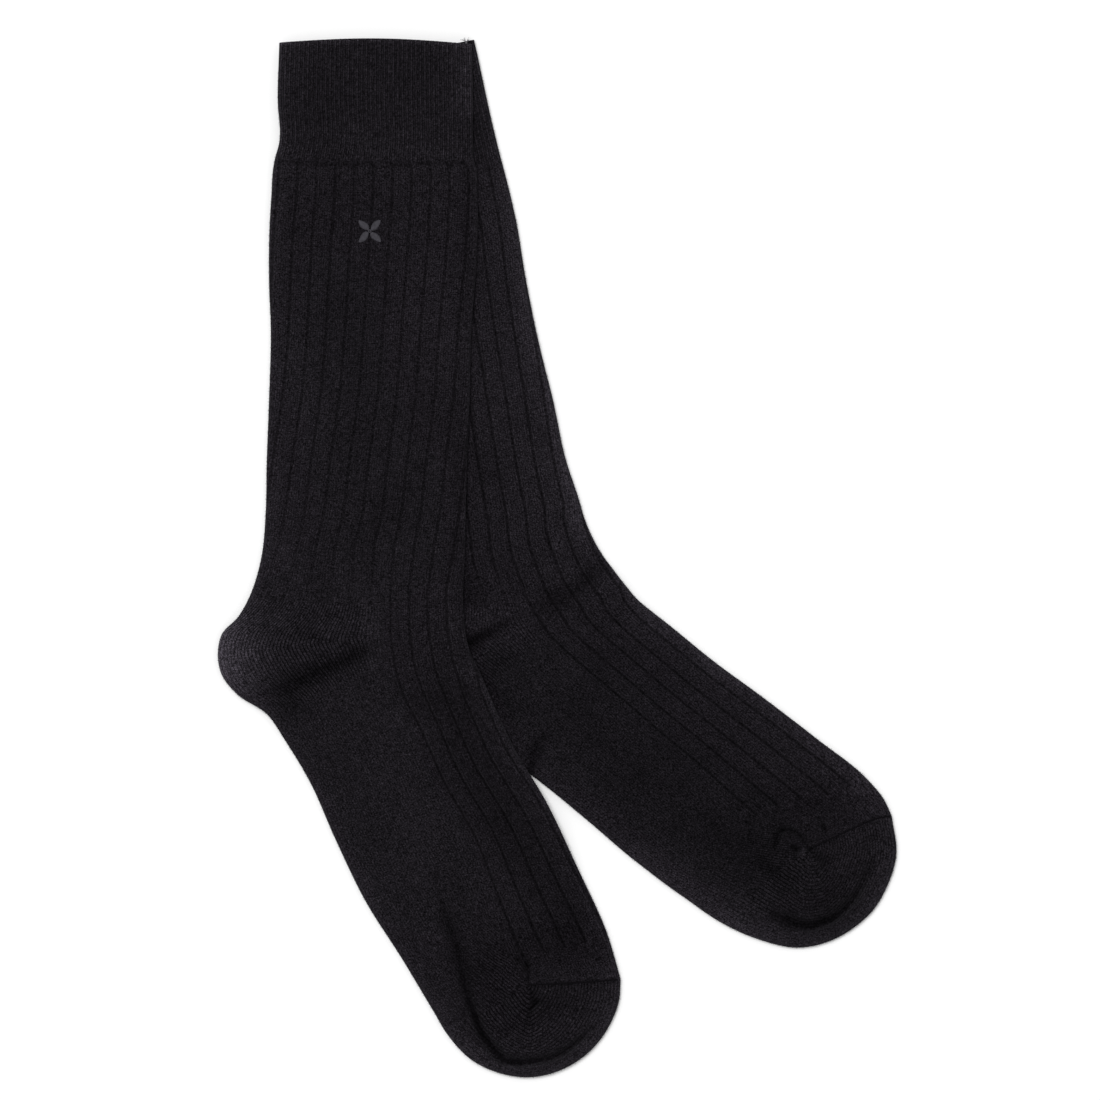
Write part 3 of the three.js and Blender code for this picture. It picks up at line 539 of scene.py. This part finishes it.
def heightsAt(sock, points):
    rise, shade = fullness(sock, points)
    height = np.maximum(lying["flatHeight"] + rise * sock["freeShare"](points), lying["leastHeight"])
    off, along = nearPath(points, sock["folds"])
    turn = np.clip(off / (lying["foldPerHeight"] * height), 0, 1)
    roundness = np.sqrt(1 - (1 - turn) ** 2)
    # painted highlight along the folds
    shade *= 1 + lying["foldHighlight"] * np.exp(-(off / lying["highlightReach"]) ** 1.5)
    return height, roundness, sock["lift"](points), shade


def knitRelief(sock, rowNumbers):
    # how far each stitch column stands out, and where the knitting is ribbed
    rows, column = sock["rows"], sock["column"]
    r = rowNumbers[:, None]
    inRib = (column - knit["grooveColumn"]) % knit["ribColumns"]
    fromGroove = np.minimum(inRib, knit["ribColumns"] - inRib)
    groove = np.interp(fromGroove, [0, 0.8, 2], [1, 0.6, 0])
    broad = knit["crown"] * np.sin(math.pi * inRib / knit["ribColumns"]) - knit["groove"] * groove
    fine = knit["cuffRib"] * np.cos(math.pi * column / 2)
    inCuff = r < rows["leg"]
    ribbed = (r <= rows["heel"]) | (sock["onInstep"][None, :] & (r <= rows["plain"]))
    left = leftOf(sock, "ribs")
    relief = np.where(inCuff, fine, np.where(ribbed, broad * left, 0))
    return relief, ribbed * left


def formSock(sock):
    plan, face = sock["plan"], sock["face"]
    flat = plan.reshape(-1, 2)
    layForms(sock)
    height, roundness, lift, shade = (v.reshape(plan.shape[:2]) for v in heightsAt(sock, flat))
    relief, ribbed = knitRelief(sock, np.arange(len(plan)))
    onTop = face[None, :] > 0
    middle = lift + height / 2
    z = middle + face[None, :] * height / 2 * roundness + np.where(onTop, relief, 0) * roundness
    sock["points"] = np.dstack([plan, z]) * mm
    # painted light and shade, kept on the top face only
    sock["shade"] = np.where(onTop, shade, 1)
    sock["ribbed"] = ribbed
    sock["lines"] = leftOf(sock, "lines")
    lengths = np.hypot(*np.moveaxis(np.diff(plan, axis=0), 2, 0))
    sock["courses"] = np.vstack([np.zeros(plan.shape[1]), np.cumsum(lengths, axis=0)]) / knit["course"]
    sock["wales"] = sock["column"] / 2 + 0.5


def knitPiece(sock, name, firstRow, lastRow, ring, unwanted=None):
    # a grid of stitches laid on the sock's form, its columns round the tube and its rows down to the toe
    rowCount, ringCount = lastRow - firstRow, len(ring) - 1
    bm = bmesh.new()
    bmesh.ops.create_grid(bm, x_segments=ringCount, y_segments=rowCount, size=1)
    tones = {name: bm.verts.layers.float.new(name) for name in ("shade", "ribbed", "lines")}
    uvLayer = bm.loops.layers.uv.new("stitches")
    cells = {}
    for vert in bm.verts:
        k = round((vert.co.x + 1) / 2 * ringCount)
        row = lastRow - round((vert.co.y + 1) / 2 * rowCount)
        cells[vert.index] = (row, k)
        vert.co = sock["points"][row, ring[k]]
        for tone, layer in tones.items():
            vert[layer] = sock[tone][row, ring[k]]
    spare = []
    for face in bm.faces:
        corners = [cells[vert.index] for vert in face.verts]
        left = min(k for row, k in corners)
        wraps = ring[left] > ring[left + 1]     # from the last column of the ring on to the first
        for loop, (row, k) in zip(face.loops, corners):
            wale = sock["wales"][row, ring[k]]
            if wraps and ring[k] == 0:
                wale += knit["columns"]
            loop[uvLayer].uv = (wale, sock["courses"][row, ring[k]])
        topRow = min(row for row, k in corners)
        if unwanted and unwanted(topRow, left):
            spare.append(face)
    bmesh.ops.delete(bm, geom=spare, context="FACES")
    bmesh.ops.remove_doubles(bm, verts=bm.verts, dist=0.002 * mm)
    for edge in bm.edges:
        edge.smooth = not edge.is_boundary
    mesh = bpy.data.meshes.new(name)
    bm.to_mesh(mesh)
    bm.free()
    mesh.shade_smooth()
    piece = bpy.data.objects.new(name, mesh)
    bpy.context.scene.collection.objects.link(piece)
    wall = piece.modifiers.new("wall", "SOLIDIFY")
    wall.thickness = knit["wall"] * mm
    wall.offset = -1
    return piece


def knitSock(sock):
    rows = sock["rows"]
    last = len(sock["column"][0]) - 1
    wholeRing = list(range(last + 1))
    underSide = knit["columns"] + knit["underColumns"] // 2
    soleRing = list(range(underSide, last)) + list(range(knit["columns"] // 2 + 1))
    name = sock["name"]

    def inHeel(row, column):
        isSole = column < knit["columns"] // 2 or column >= underSide
        return isSole and rows["heel"] <= row < rows["foot"]

    return {
        "cuff": knitPiece(sock, name + "_cuff_knit", 0, rows["leg"], wholeRing),
        "body": knitPiece(sock, name + "_body_knit", rows["leg"], rows["toe"], wholeRing, inHeel),
        "heel": knitPiece(sock, name + "_heel_knit", rows["heel"], rows["foot"], soleRing),
        "toe": knitPiece(sock, name + "_toe_knit", rows["toe"], rows["end"], soleRing),
    }


def linkObject(name, mesh):
    mesh.shade_smooth()
    piece = bpy.data.objects.new(name, mesh)
    bpy.context.scene.collection.objects.link(piece)
    return piece


def layStitches(name, stitches):
    # each stitch is a middle point, a direction in degrees, a length, a width and a height
    bm = bmesh.new()
    for middle, angle, size in stitches:
        turned = Euler((0, 0, math.radians(angle))).to_matrix().to_4x4()
        matrix = Matrix.Translation(Vector(middle) * mm) @ turned @ Matrix.Diagonal((*size, 1))
        bmesh.ops.create_icosphere(bm, subdivisions=2, radius=0.5 * mm, matrix=matrix)
    mesh = bpy.data.meshes.new(name)
    bm.to_mesh(mesh)
    bm.free()
    return linkObject(name, mesh)


def wayOf(angle):
    return np.array([math.cos(angle), math.sin(angle)])


def topOf(sock, places):
    height, roundness, lift, shade = heightsAt(sock, np.array(places, float))
    return lift + height / 2 * (1 + roundness)


def toeSeam(sock):
    # linked stitches one behind another across the toe
    stitch = {"length": 1.15, "width": 0.66, "height": 0.6, "pitch": 0.82, "lean": 9, "proud": 0.1}
    line = smoothThrough(sock["seam"], np.linspace(0, len(sock["seam"]) - 1, 200))
    along = np.concatenate([[0], np.cumsum(np.hypot(*np.diff(line, axis=0).T))])
    count = int(along[-1] / stitch["pitch"])
    places = np.array([np.interp(np.arange(count) * stitch["pitch"], along, values) for values in line.T]).T
    ways = np.gradient(places, axis=0)
    size = (stitch["length"], stitch["width"], stitch["height"])
    z = topOf(sock, places) + stitch["proud"]
    return layStitches(sock["name"] + "_linking",
                       [((*place, up), math.degrees(math.atan2(way[1], way[0])) + stitch["lean"], size)
                        for place, way, up in zip(places, ways, z)])


# A small four-petalled flower in satin stitch on the leg
flower = {
    "middle": (-82.5, 143.4),
    "petals": 4,
    "turn": 45,
    "inner": 1.1,           # from the middle to the first and to the last thread of a petal
    "outer": 6.6,
    "halfWidth": 1.6,
    "thread": 0.34,
    "slant": 72,            # of the threads against the petal
    "pitch": 0.27,
    "height": 0.42,
    "proud": 0.2,
    "knots": 6,             # round the eye
    "knotSize": 0.62,
    "knotRing": 0.55,
}


def satinFlower(sock):
    stitches = []
    middle = np.array(flower["middle"])
    count = int((flower["outer"] - flower["inner"]) / flower["pitch"]) + 1
    for petal in range(flower["petals"]):
        angle = flower["turn"] + petal * 360 / flower["petals"]
        way = wayOf(math.radians(angle))
        for i in range(count):
            share = (i + 0.5) / count
            width = 2 * flower["halfWidth"] * math.sin(math.pi * share ** 0.8) ** 0.7 + flower["thread"]
            place = middle + way * (flower["inner"] + i * flower["pitch"])
            stitches.append((place, angle + flower["slant"], (width, flower["thread"], flower["height"])))
    for i in range(flower["knots"]):
        angle = math.tau * i / flower["knots"]
        place = middle + flower["knotRing"] * wayOf(angle)
        stitches.append((place, math.degrees(angle), (flower["knotSize"],) * 3))
    z = topOf(sock, [place for place, angle, size in stitches]) + flower["proud"]
    return layStitches(sock["name"] + "_satin_flower",
                       [((*place, up), angle, size) for (place, angle, size), up in zip(stitches, z)])


# The end of the knitting yarn, left as a small tuft at the corner of the rim
tuft = {
    "root": (-40.0, 225.6),
    "fibres": 16,
    "radius": 0.08,
    "length": 3.4,
    "fan": 75,
    "lean": 100,
    "curl": 0.9,
}


def yarnTuft(sock):
    curve = bpy.data.curves.new("tuft", "CURVE")
    curve.dimensions = "3D"
    curve.bevel_depth = tuft["radius"] * mm
    curve.bevel_resolution = 1
    root = np.array(tuft["root"])
    up = topOf(sock, [root])[0] - 0.6
    for i in range(tuft["fibres"]):
        share = i / (tuft["fibres"] - 1)
        angle = math.radians(tuft["lean"] + tuft["fan"] * (share - 0.5))
        length = tuft["length"] * (0.6 + 0.4 * math.sin(2.4 * i + 1))
        spline = curve.splines.new("POLY")
        spline.points.add(7)
        for k, point in enumerate(spline.points):
            t = k / 7
            bend = angle + tuft["curl"] * t * math.sin(1.7 * i)
            place = root + (share - 0.5, 0) + length * t * wayOf(bend)
            point.co = (*(place * mm), (up + 0.5 * math.sin(math.pi * t) * math.cos(i)) * mm, 1)
    holder = bpy.data.objects.new("tuft", curve)
    mesh = bpy.data.meshes.new_from_object(holder)
    bpy.data.objects.remove(holder)
    return linkObject(sock["name"] + "_yarn_tuft", mesh)


# Loose fibres that stand out along the folds and the rim
fuzz = {
    "pitch": 0.24,
    "length": 0.5,
    "radius": 0.035,
    "fan": 1.1,
    "curl": 1.3,
    "rooted": 0.4,          # depth of its root in the cloth
    "clear": 2,             # none nearer than this to the other sock
}


def looseFibres(sock, other):
    line = np.vstack([sock["folds"], sock["plan"][0, knit["columns"]::-1]])
    along = np.concatenate([[0], np.cumsum(np.hypot(*np.diff(line, axis=0).T))])
    count = int(along[-1] / fuzz["pitch"])
    chance = np.random.RandomState(len(sock["sections"]))
    stations = (np.arange(count) + chance.rand(count)) * fuzz["pitch"]
    roots = np.array([np.interp(stations, along, values) for values in line.T]).T
    ahead = np.array([np.interp(stations + 1, along, values) for values in line.T]).T - roots
    outward = np.arctan2(-ahead[:, 0], ahead[:, 1])
    if distanceBeside(roots[:1] + 2 * wayOf(outward[0]), sock["folds"])[0] < 0:
        outward += math.pi
    free = distanceBeside(roots, other["folds"]) > fuzz["clear"]
    height, roundness, lift, shade = heightsAt(sock, roots)
    curve = bpy.data.curves.new("fibres", "CURVE")
    curve.dimensions = "3D"
    curve.bevel_depth = fuzz["radius"] * mm
    curve.bevel_resolution = 0
    for i in np.flatnonzero(free):
        angle = outward[i] + fuzz["fan"] * chance.normal() * 0.6
        bend = fuzz["curl"] * chance.normal()
        length = fuzz["length"] * (0.25 + chance.rand() ** 2)
        up = lift[i] + height[i] * (0.35 + 0.4 * chance.rand())
        place = roots[i] - fuzz["rooted"] * wayOf(outward[i])
        spline = curve.splines.new("POLY")
        spline.points.add(3)
        for k, point in enumerate(spline.points):
            way = angle + bend * k / 3
            point.co = (*(place * mm), up * mm, 1)
            place = place + (length + fuzz["rooted"]) / 3 * wayOf(way)
    holder = bpy.data.objects.new("fibres", curve)
    mesh = bpy.data.meshes.new_from_object(holder)
    bpy.data.objects.remove(holder)
    print(sock["name"], "loose fibres,", len(mesh.polygons) * 2, "triangles")
    return linkObject(sock["name"] + "_loose_fibres", mesh)


def newMaterial(name):
    material = bpy.data.materials.new(name)
    material.use_nodes = True
    tree = material.node_tree
    tree.nodes.clear()
    output = tree.nodes.new("ShaderNodeOutputMaterial")
    shader = tree.nodes.new("ShaderNodeBsdfPrincipled")
    tree.links.new(shader.outputs["BSDF"], output.inputs["Surface"])
    return material, tree, shader


def mathNode(tree, operation, *values, clamp=False):
    node = tree.nodes.new("ShaderNodeMath")
    node.operation = operation
    node.use_clamp = clamp
    for socket, value in zip(node.inputs, values):
        if isinstance(value, (int, float)):
            socket.default_value = value
        else:
            tree.links.new(value, socket)
    return node.outputs[0]


def noiseNode(tree, vector, scale, detail=2.0, roughness=0.5):
    node = tree.nodes.new("ShaderNodeTexNoise")
    node.inputs["Scale"].default_value = scale
    node.inputs["Detail"].default_value = detail
    node.inputs["Roughness"].default_value = roughness
    tree.links.new(vector, node.inputs["Vector"])
    return node.outputs["Fac"]


def aroundMiddle(tree, noise, contrast):
    # a noise made into a factor round 1
    return mathNode(tree, "MULTIPLY_ADD", noise, contrast, 1 - contrast / 2)


def attributeNode(tree, name):
    node = tree.nodes.new("ShaderNodeAttribute")
    node.attribute_name = name
    return node.outputs["Fac"]


def dyeYarn(tree, shader, tone, colour):
    yarn = tree.nodes.new("ShaderNodeMix")
    yarn.data_type = "RGBA"
    yarn.clamp_factor = False
    yarn.inputs["A"].default_value = (0, 0, 0, 1)
    yarn.inputs["B"].default_value = (*colour, 1)
    tree.links.new(tone, yarn.inputs["Factor"])
    tree.links.new(yarn.outputs["Result"], shader.inputs["Base Color"])


def raiseYarn(tree, shader, surface, strength, distance):
    bump = tree.nodes.new("ShaderNodeBump")
    bump.inputs["Strength"].default_value = strength
    bump.inputs["Distance"].default_value = distance * mm
    tree.links.new(surface, bump.inputs["Height"])
    tree.links.new(bump.outputs["Normal"], shader.inputs["Normal"])


def softSheen(shader, look):
    shader.inputs["Roughness"].default_value = 0.9
    shader.inputs["Specular IOR Level"].default_value = look["gloss"]
    shader.inputs["Sheen Weight"].default_value = look["sheen"]
    shader.inputs["Sheen Roughness"].default_value = 0.35
    shader.inputs["Sheen Tint"].default_value = (*look["fuzz"], 1)


# Noises in the yarn, each with its scale, detail, roughness and contrast
grain = {
    "heather": (1150, 1.0, 0.6, 2.8),
    "fibre": (1900, 1.0, 0.6, 4.0),
    "slub": (380, 2.0, 0.5, 0.8),
    "wear": (38, 3.0, 0.55, 0.6),
}
leastTone = 0.05


def knitMaterial(name, look):
    material, tree, shader = newMaterial(name)

    def calc(operation, *values, clamp=False):
        return mathNode(tree, operation, *values, clamp=clamp)

    uv = tree.nodes.new("ShaderNodeUVMap")
    uv.uv_map = "stitches"
    split = tree.nodes.new("ShaderNodeSeparateXYZ")
    tree.links.new(uv.outputs["UV"], split.inputs[0])
    u, v = split.outputs["X"], split.outputs["Y"]

    # each stitch is a V: two legs that rise from the middle of the wale to its sides
    fromMiddle = calc("ABSOLUTE", calc("SUBTRACT", calc("FRACT", u), 0.5))
    legSide = calc("MULTIPLY", calc("SUBTRACT", fromMiddle, 0.25), 4.0)
    acrossLeg = calc("SUBTRACT", 1.0, calc("MULTIPLY", legSide, legSide), clamp=True)
    course = calc("FRACT", calc("ADD", v, calc("MULTIPLY", fromMiddle, 1.3)))
    courseSide = calc("SUBTRACT", calc("MULTIPLY", course, 2.0), 1.0)
    alongLeg = calc("SUBTRACT", 1.0, calc("MULTIPLY", courseSide, courseSide), clamp=True)
    stitch = calc("SQRT", calc("MULTIPLY", acrossLeg, alongLeg))
    betweenWales = calc("POWER", calc("MULTIPLY", fromMiddle, 2.0), 1.6)

    # the sunk wale of each rib
    ribs = calc("FRACT", calc("DIVIDE", calc("SUBTRACT", u, look["sunkWale"]), look["ribWales"]))
    fromSunk = calc("MULTIPLY", calc("PINGPONG", ribs, 0.5), look["ribWales"] / look["sunkWidth"])
    sunk = calc("MULTIPLY", calc("SUBTRACT", 1.0, fromSunk, clamp=True), attributeNode(tree, "ribbed"))

    place = tree.nodes.new("ShaderNodeTexCoord").outputs["Object"]

    # painted shade in the gaps round each stitch's legs and, by the lines attribute, between the wales
    tone = calc("MULTIPLY_ADD", stitch, look["stitchContrast"], 1 - look["stitchContrast"])
    lines = calc("MULTIPLY", attributeNode(tree, "lines"), look["waleContrast"])
    lines = calc("MULTIPLY", calc("MINIMUM", lines, 0.95), betweenWales)
    tone = calc("MULTIPLY", tone, calc("SUBTRACT", 1.0, lines))
    # painted shade in the sunk wale of each rib
    tone = calc("MULTIPLY", tone, calc("MULTIPLY_ADD", sunk, -look["sunkShade"], 1.0))
    noises = {}
    for kind, (scale, detail, roughness, contrast) in grain.items():
        noises[kind] = noiseNode(tree, place, scale, detail, roughness)
        factor = calc("MAXIMUM", aroundMiddle(tree, noises[kind], contrast), leastTone)
        tone = calc("MULTIPLY", tone, factor)
    # painted light and shade of the forms and folds, from the shade attribute
    tone = calc("MULTIPLY", tone, attributeNode(tree, "shade"))
    dyeYarn(tree, shader, tone, look["colour"])

    surface = calc("ADD", stitch, calc("MULTIPLY", noises["fibre"], 0.5))
    surface = calc("SUBTRACT", surface, sunk)
    raiseYarn(tree, shader, surface, look["bump"], 0.25)
    softSheen(shader, look)
    return material


def threadMaterial(name, look):
    material, tree, shader = newMaterial(name)
    place = tree.nodes.new("ShaderNodeTexCoord").outputs["Object"]
    fibre = noiseNode(tree, place, 5200, 3.0, 0.6)
    heather = noiseNode(tree, place, 900, 1.0, 0.5)
    flecks = aroundMiddle(tree, fibre, 1.2)
    tone = mathNode(tree, "MULTIPLY", flecks, aroundMiddle(tree, heather, look["heather"]))
    dyeYarn(tree, shader, tone, look["colour"])
    raiseYarn(tree, shader, fibre, look["bump"], 0.08)
    softSheen(shader, look)
    return material


yarn = {"colour": (0.0148, 0.0130, 0.0161), "fuzz": (0.92, 0.9, 1.0), "sheen": 0.03, "gloss": 0.02,
        "stitchContrast": 0.5, "waleContrast": 0.45, "bump": 0.9,
        "ribWales": 8, "sunkWale": 1.5, "sunkWidth": 0.8, "sunkShade": 0.6}
finishes = {
    # the fine rib, the heel and the toe are lighter copies of the one black yarn: painted light, on the fine
    # rib for its fewer deep shadows
    "fineRibKnit": {**yarn, "colour": (0.0201, 0.0177, 0.0218), "waleContrast": 0.8, "ribWales": 2,
                    "sunkWidth": 1.0, "sunkShade": 0.3},
    "broadRibKnit": yarn,
    "heelKnit": {**yarn, "colour": (0.0190, 0.0167, 0.0207), "waleContrast": 0.95},
    "toeKnit": {**yarn, "colour": (0.0175, 0.0154, 0.0190), "waleContrast": 0.72},
}
threads = {
    # darker than the yarn it is the same as: painted shade of the seam's groove
    "linkingThread": {**yarn, "colour": (0.004, 0.0036, 0.0044), "sheen": 0.0, "heather": 1.0},
    "satinThread": {**yarn, "colour": (0.044, 0.042, 0.050), "gloss": 0.25, "heather": 1.0, "bump": 0.5},
    # the tuft and the loose fibres are lighter copies of the black yarn: painted light on their thin fibres
    "looseYarn": {**yarn, "colour": (0.12, 0.115, 0.125), "heather": 1.2},
    "looseFibre": {**yarn, "colour": (0.035, 0.032, 0.038), "heather": 1.0, "bump": 0.0},
}

studio = {
    "cameraHeight": 5.0,
    "viewWidth": 0.484,
    "centre": (-0.0033, 0.0033),
    "floorSize": 6.0,
    "floorGap": 0.0002,
    "paper": 0.9,
    "roomLight": 0.6,
    "lampPower": 215,
    "lampSize": 2.6,
    "lampPlace": (-1.0, 1.2, 5.4),
}


def setUpStudio():
    camera = bpy.data.cameras.new("camera")
    camera.lens = camera.sensor_width * studio["cameraHeight"] / studio["viewWidth"]
    camera.clip_end = 50
    holder = bpy.data.objects.new("camera", camera)
    holder.location = (*studio["centre"], studio["cameraHeight"])
    bpy.context.scene.collection.objects.link(holder)
    bpy.context.scene.camera = holder

    bm = bmesh.new()
    bmesh.ops.create_grid(bm, x_segments=1, y_segments=1, size=studio["floorSize"] / 2)
    mesh = bpy.data.meshes.new("floor")
    bm.to_mesh(mesh)
    bm.free()
    floor = bpy.data.objects.new("floor", mesh)
    floor.location.z = -studio["floorGap"]
    bpy.context.scene.collection.objects.link(floor)
    material, tree, shader = newMaterial("floorPaper")
    shader.inputs["Base Color"].default_value = (studio["paper"],) * 3 + (1,)
    shader.inputs["Roughness"].default_value = 0.9
    floor.data.materials.append(material)

    world = bpy.data.worlds.new("studio")
    world.use_nodes = True
    background = world.node_tree.nodes["Background"]
    background.inputs["Color"].default_value = (1, 1, 1, 1)
    background.inputs["Strength"].default_value = studio["roomLight"]
    bpy.context.scene.world = world

    lamp = bpy.data.lights.new("softbox", "AREA")
    lamp.energy = studio["lampPower"]
    lamp.shape = "SQUARE"
    lamp.size = studio["lampSize"]
    softbox = bpy.data.objects.new("softbox", lamp)
    softbox.location = studio["lampPlace"]
    softbox.rotation_euler = (Vector((0, 0, 0)) - softbox.location).to_track_quat("-Z", "Y").to_euler()
    bpy.context.scene.collection.objects.link(softbox)
    bpy.context.scene.view_settings.view_transform = "Standard"


setUpStudio()
print("studio ready")

for sock in (topSock, underSock):
    sock.update(layOutSock(sock))
topSock["lift"] = lambda points: (lying["flatHeight"] + lying["clearance"]) * (
    1 - smoothStep((distanceBeside(points, underSock["folds"]) - lying["shoulder"]) / lying["fall"]))
topSock["freeShare"] = lambda points: np.ones(len(points))
underSock["lift"] = lambda points: np.zeros(len(points))
underSock["freeShare"] = lambda points: smoothStep(
    (distanceBeside(points, topSock["folds"]) - lying["pressedBeside"]) / lying["pressedOver"])

materials = {name: knitMaterial(name, look) for name, look in finishes.items()}
materials.update({name: threadMaterial(name, look) for name, look in threads.items()})
print("yarns dyed")

finish = {"cuff": ("fineRibKnit", "fine_rib_knit"), "body": ("broadRibKnit", "broad_rib_knit"),
          "heel": ("heelKnit", "heel_knit"), "toe": ("toeKnit", "toe_knit")}
stands = {"cuff": ["cuff"], "body": ["leg", "foot"], "heel": ["heel"], "toe": ["toe"]}


def sewOn(piece, materialName, *nodes):
    piece.data.materials.append(materials[materialName])
    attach(piece, "root")
    if nodes:
        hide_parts(*nodes)


for sock in (underSock, topSock):
    formSock(sock)
    pieces = knitSock(sock)
    for part, piece in pieces.items():
        materialName, slotName = finish[part]
        piece.data.materials.append(materials[materialName])
        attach(piece, "root")
        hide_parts(*[sock["name"] + "_" + node for node in stands[part]])
        print(piece.name, len(piece.data.polygons) * 4, "triangles with the wall")
    sewOn(toeSeam(sock), "linkingThread", sock["name"] + "_toe_seam")
    print(sock["name"], "knitted")

sewOn(looseFibres(topSock, underSock), "looseFibre")
sewOn(looseFibres(underSock, topSock), "looseFibre")
sewOn(satinFlower(topSock), "satinThread")
sewOn(yarnTuft(topSock), "looseYarn")
print("flower and yarn tuft sewn on")
